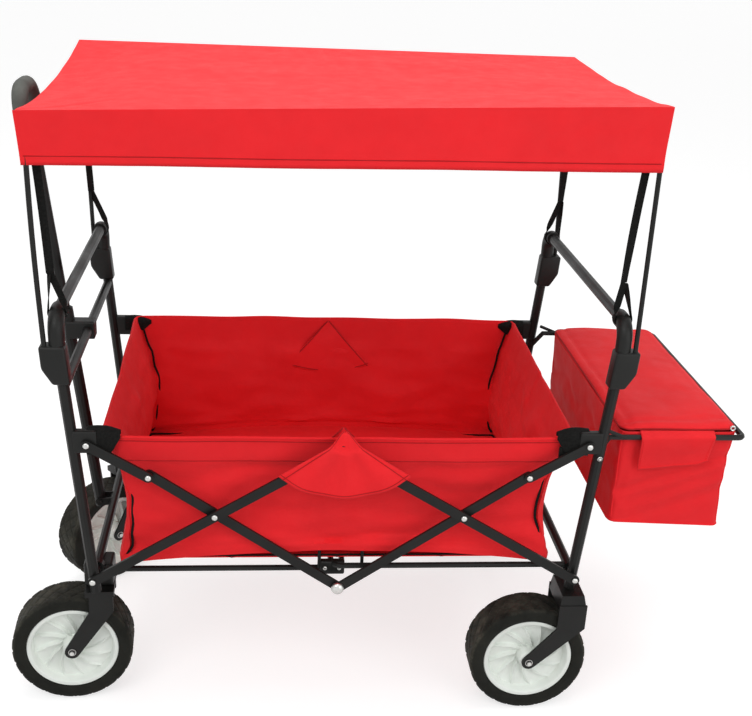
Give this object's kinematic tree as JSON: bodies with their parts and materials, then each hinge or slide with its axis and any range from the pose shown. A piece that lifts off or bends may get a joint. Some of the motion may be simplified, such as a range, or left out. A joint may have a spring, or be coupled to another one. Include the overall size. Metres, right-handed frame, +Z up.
{
  "type": "folding wagon",
  "caption": "Folding fabric wagon with a scissor frame, shade canopy, wide swivel front wheels, sliding pull handle and a lidded rear bag.",
  "frame": {"origin": "on the ground below the middle of the bounding box", "axes": "+Z up; the bag end is towards +X, the pull handle towards -X, the near side towards -Y"},
  "size_m": [1.2216, 0.594, 1.05],
  "materials": {
    "steel": "black powder coat, semi-gloss",
    "plastic": "moulded black plastic",
    "tyre": "soft black rubber with a moulded tread",
    "rim": "moulded white plastic",
    "basket": "woven polyester",
    "floor_mat": "fabric over a soft board",
    "canopy": "thin woven polyester",
    "bag": "coated fabric",
    "bag_lid": "coated fabric",
    "grip": "foam sleeve"
  },
  "bodies": {
    "rear_frame": {"rear_post_near": "steel", "rear_post_far": "steel", "rear_connector_near": "plastic", "rear_connector_far": "plastic", "rear_socket_near": "plastic", "rear_socket_far": "plastic", "rear_canopy_rod_near": "steel", "rear_canopy_rod_far": "steel", "rear_upper_crossbar": "steel", "rear_lower_crossbar": "steel", "rear_fork_near": "steel", "rear_fork_far": "steel", "basket": "basket", "floor_mat": "floor_mat", "canopy": "canopy"},
    "rear_bars": {"rear_bar_near": "steel", "rear_bar_far": "steel"},
    "front_bars": {"front_bar_near": "steel", "front_bar_far": "steel"},
    "rear_braces": {"rear_brace_near": "steel", "rear_brace_far": "steel"},
    "front_braces": {"front_brace_near": "steel", "front_brace_far": "steel"},
    "rear_links": {"rear_link_near": "steel", "rear_link_far": "steel"},
    "front_links": {"front_link_near": "steel", "front_link_far": "steel"},
    "rear_floor": {"rear_floor_frame": "steel"},
    "front_floor": {"front_floor_frame": "steel"},
    "front_frame": {"front_post_near": "steel", "front_post_far": "steel", "front_connector_near": "plastic", "front_connector_far": "plastic", "front_socket_near": "plastic", "front_socket_far": "plastic", "front_canopy_rod_near": "steel", "front_canopy_rod_far": "steel", "front_upper_crossbar": "steel", "front_middle_crossbar": "steel", "front_lower_crossbar": "steel", "front_caster_housing_near": "plastic", "front_caster_housing_far": "plastic", "handle_clip": "plastic"},
    "handle": {"handle_outer_tube": "steel"},
    "handle_slider": {"handle_inner_tube": "steel", "handle_grip": "grip"},
    "bag": {"bag_body": "bag", "bag_frame": "steel"},
    "bag_cover": {"bag_lid": "bag_lid"},
    "rear_wheel_near": {"rear_near_tyre": "tyre", "rear_near_rim": "rim"},
    "front_caster_near": {"front_fork_near": "steel"},
    "front_wheel_near": {"front_near_tyre": "tyre", "front_near_rim": "rim"},
    "rear_wheel_far": {"rear_far_tyre": "tyre", "rear_far_rim": "rim"},
    "front_caster_far": {"front_fork_far": "steel"},
    "front_wheel_far": {"front_far_tyre": "tyre", "front_far_rim": "rim"}
  },
  "joints": [
    {"name": "fold", "type": "hinge", "parent": "rear_frame", "child": "rear_bars", "pos_m": [0.33983, 0, 0.259], "axis": [0, 1, 0], "range_deg": [0, 38], "deforming": ["basket", "floor_mat", "canopy"]},
    {"name": "top_centre_pivot", "type": "hinge", "parent": "rear_bars", "child": "front_bars", "pos_m": [-0.06017, 0, 0.5014], "axis": [0, 1, 0], "range_deg": [-76.5, 0]},
    {"name": "rear_brace_pivot", "type": "hinge", "parent": "rear_bars", "child": "rear_braces", "pos_m": [0.14183, 0, 0.37899], "axis": [0, 1, 0], "range_deg": [-74.6, 0]},
    {"name": "front_brace_pivot", "type": "hinge", "parent": "front_bars", "child": "front_braces", "pos_m": [-0.26217, 0, 0.37899], "axis": [0, 1, 0], "range_deg": [0, 74.6]},
    {"name": "front_frame_pivot", "type": "hinge", "parent": "front_bars", "child": "front_frame", "pos_m": [-0.46017, 0, 0.259], "axis": [0, 1, 0], "range_deg": [0, 38.5]},
    {"name": "rear_link_pivot", "type": "hinge", "parent": "rear_frame", "child": "rear_links", "pos_m": [0.33783, 0, 0.506], "axis": [0, 1, 0], "range_deg": [0, 95.5]},
    {"name": "front_link_pivot", "type": "hinge", "parent": "front_frame", "child": "front_links", "pos_m": [-0.45817, 0, 0.506], "axis": [0, 1, 0], "range_deg": [-95.5, 0]},
    {"name": "rear_floor_pivot", "type": "hinge", "parent": "rear_frame", "child": "rear_floor", "pos_m": [0.33783, 0, 0.264], "axis": [0, 1, 0], "range_deg": [0, 57.5]},
    {"name": "front_floor_pivot", "type": "hinge", "parent": "front_frame", "child": "front_floor", "pos_m": [-0.45817, 0, 0.264], "axis": [0, 1, 0], "range_deg": [-57.5, 0]},
    {"name": "rear_wheel_near_spin", "type": "hinge", "parent": "rear_frame", "child": "rear_wheel_near", "pos_m": [0.27383, -0.255, 0.1015], "axis": [0, 1, 0], "continuous": true},
    {"name": "front_swivel_near", "type": "hinge", "parent": "front_frame", "child": "front_caster_near", "pos_m": [-0.45817, -0.205, 0.214], "axis": [0, 0, 1], "continuous": true},
    {"name": "front_wheel_near_spin", "type": "hinge", "parent": "front_caster_near", "child": "front_wheel_near", "pos_m": [-0.50808, -0.20805, 0.1015], "axis": [-0.061, 0.9981, 0], "continuous": true},
    {"name": "rear_wheel_far_spin", "type": "hinge", "parent": "rear_frame", "child": "rear_wheel_far", "pos_m": [0.27383, 0.255, 0.1015], "axis": [0, 1, 0], "continuous": true},
    {"name": "front_swivel_far", "type": "hinge", "parent": "front_frame", "child": "front_caster_far", "pos_m": [-0.45817, 0.205, 0.214], "axis": [0, 0, 1], "continuous": true},
    {"name": "front_wheel_far_spin", "type": "hinge", "parent": "front_caster_far", "child": "front_wheel_far", "pos_m": [-0.49647, 0.17286, 0.1015], "axis": [-0.6428, 0.766, 0], "continuous": true},
    {"name": "handle_tilt", "type": "hinge", "parent": "front_frame", "child": "handle", "pos_m": [-0.48367, 0, 0.264], "axis": [0, 1, 0], "range_deg": [-75, 0]},
    {"name": "handle_extend", "type": "slide", "parent": "handle", "child": "handle_slider", "axis": [-0.1149, 0, 0.9934], "range_m": [-0.25, 0]},
    {"name": "bag_hinge", "type": "hinge", "parent": "rear_frame", "child": "bag", "pos_m": [0.35833, 0, 0.4825], "axis": [0, 1, 0], "range_deg": [-60, 0]},
    {"name": "bag_lid_hinge", "type": "hinge", "parent": "bag", "child": "bag_cover", "pos_m": [0.39833, 0, 0.516], "axis": [0, 1, 0], "range_deg": [-70, 0]}
  ],
  "couplings": [
    {"joint": "top_centre_pivot", "follows": "fold", "ratio": -2},
    {"joint": "rear_brace_pivot", "follows": "fold", "ratio": -1.95},
    {"joint": "front_brace_pivot", "follows": "fold", "ratio": 1.95},
    {"joint": "front_frame_pivot", "follows": "fold", "ratio": 1},
    {"joint": "rear_link_pivot", "follows": "fold", "ratio": 2.5},
    {"joint": "front_link_pivot", "follows": "fold", "ratio": -2.5},
    {"joint": "rear_floor_pivot", "follows": "fold", "ratio": 1.5},
    {"joint": "front_floor_pivot", "follows": "fold", "ratio": -1.5}
  ]
}
